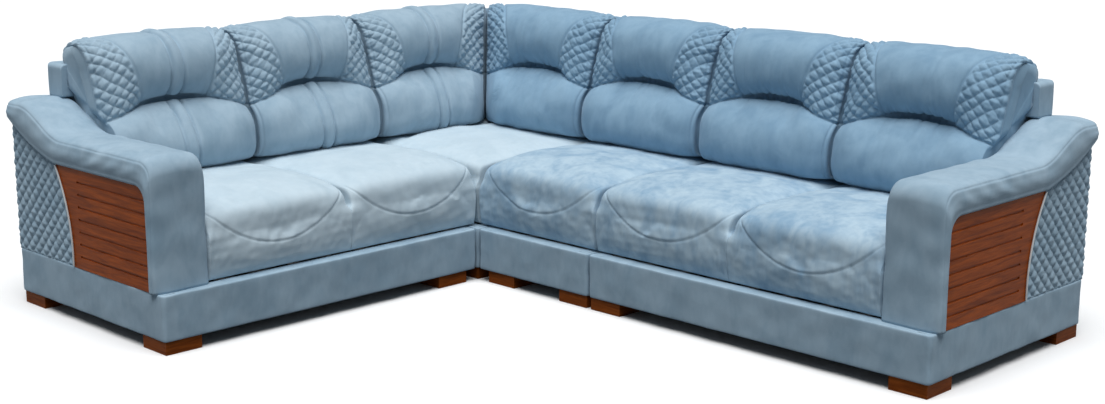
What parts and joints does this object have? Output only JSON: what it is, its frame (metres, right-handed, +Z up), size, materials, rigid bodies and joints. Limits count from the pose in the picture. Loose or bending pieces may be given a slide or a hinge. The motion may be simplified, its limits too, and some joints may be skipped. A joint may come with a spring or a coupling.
{
  "type": "corner sofa",
  "caption": "L-shaped modular sofa with low plinth, crowned seats, headrest cushions with quilted wings, swooping padded arms and grooved wooden side panels.",
  "frame": {"origin": "centre of the overall box, at floor level", "axes": "+X along the longer wing towards its arm, +Y from the seats' fronts towards the back of that wing, +Z up"},
  "size_m": [2.79, 2.215, 0.9105],
  "materials": {
    "upholstery": "soft steel-blue velvet",
    "seat_fabric": "soft steel-blue velvet",
    "piping": "pale grey-blue cord",
    "black_cloth": "plain black lining",
    "polished_wood": "reddish brown, semi-gloss lacquer",
    "foot_wood": "brown stain, satin",
    "timber": "bare softwood",
    "steel": "zinc plated"
  },
  "bodies": {
    "corner_module": {"corner_back_frame": "timber", "corner_base_band": "upholstery", "corner_base_frame": "timber", "corner_bottom_cloth": "black_cloth", "corner_feet": "foot_wood", "corner_foot_bolts": "steel", "corner_joining_guides": "steel", "corner_left_back_case": "upholstery", "corner_left_back_cushion": "upholstery", "corner_right_back_case": "upholstery", "corner_right_back_cushion": "upholstery", "corner_seat": "seat_fabric", "corner_springs": "steel"},
    "left_module": {"left_arm_frame": "timber", "left_arm_pad": "upholstery", "left_arm_piping": "piping", "left_arm_quilted_panel": "upholstery", "left_arm_wood_panel": "polished_wood", "left_back_case": "upholstery", "left_back_frame": "timber", "left_base_band": "upholstery", "left_base_frame": "timber", "left_bottom_cloth": "black_cloth", "left_feet": "foot_wood", "left_foot_bolts": "steel", "left_inner_back_cushion": "upholstery", "left_inner_seat": "seat_fabric", "left_joining_tongue": "steel", "left_outer_back_cushion": "upholstery", "left_outer_seat": "seat_fabric", "left_springs": "steel"},
    "single_module": {"single_back_case": "upholstery", "single_back_cushion": "upholstery", "single_back_frame": "timber", "single_base_band": "upholstery", "single_base_frame": "timber", "single_bottom_cloth": "black_cloth", "single_feet": "foot_wood", "single_foot_bolts": "steel", "single_joining_set": "steel", "single_seat": "seat_fabric", "single_springs": "steel"},
    "right_module": {"right_arm_frame": "timber", "right_arm_pad": "upholstery", "right_arm_piping": "piping", "right_arm_quilted_panel": "upholstery", "right_arm_wood_panel": "polished_wood", "right_back_case": "upholstery", "right_back_frame": "timber", "right_base_band": "upholstery", "right_base_frame": "timber", "right_bottom_cloth": "black_cloth", "right_feet": "foot_wood", "right_foot_bolts": "steel", "right_inner_back_cushion": "upholstery", "right_inner_seat": "seat_fabric", "right_joining_tongue": "steel", "right_outer_back_cushion": "upholstery", "right_outer_seat": "seat_fabric", "right_springs": "steel"}
  },
  "joints": [
    {"name": "left_module_slide", "type": "slide", "parent": "corner_module", "child": "left_module", "axis": [0, -1, 0], "range_m": [0, 0.3]},
    {"name": "single_module_slide", "type": "slide", "parent": "corner_module", "child": "single_module", "axis": [1, 0, 0], "range_m": [0, 0.3]},
    {"name": "right_module_slide", "type": "slide", "parent": "single_module", "child": "right_module", "axis": [1, 0, 0], "range_m": [0, 0.3]}
  ]
}
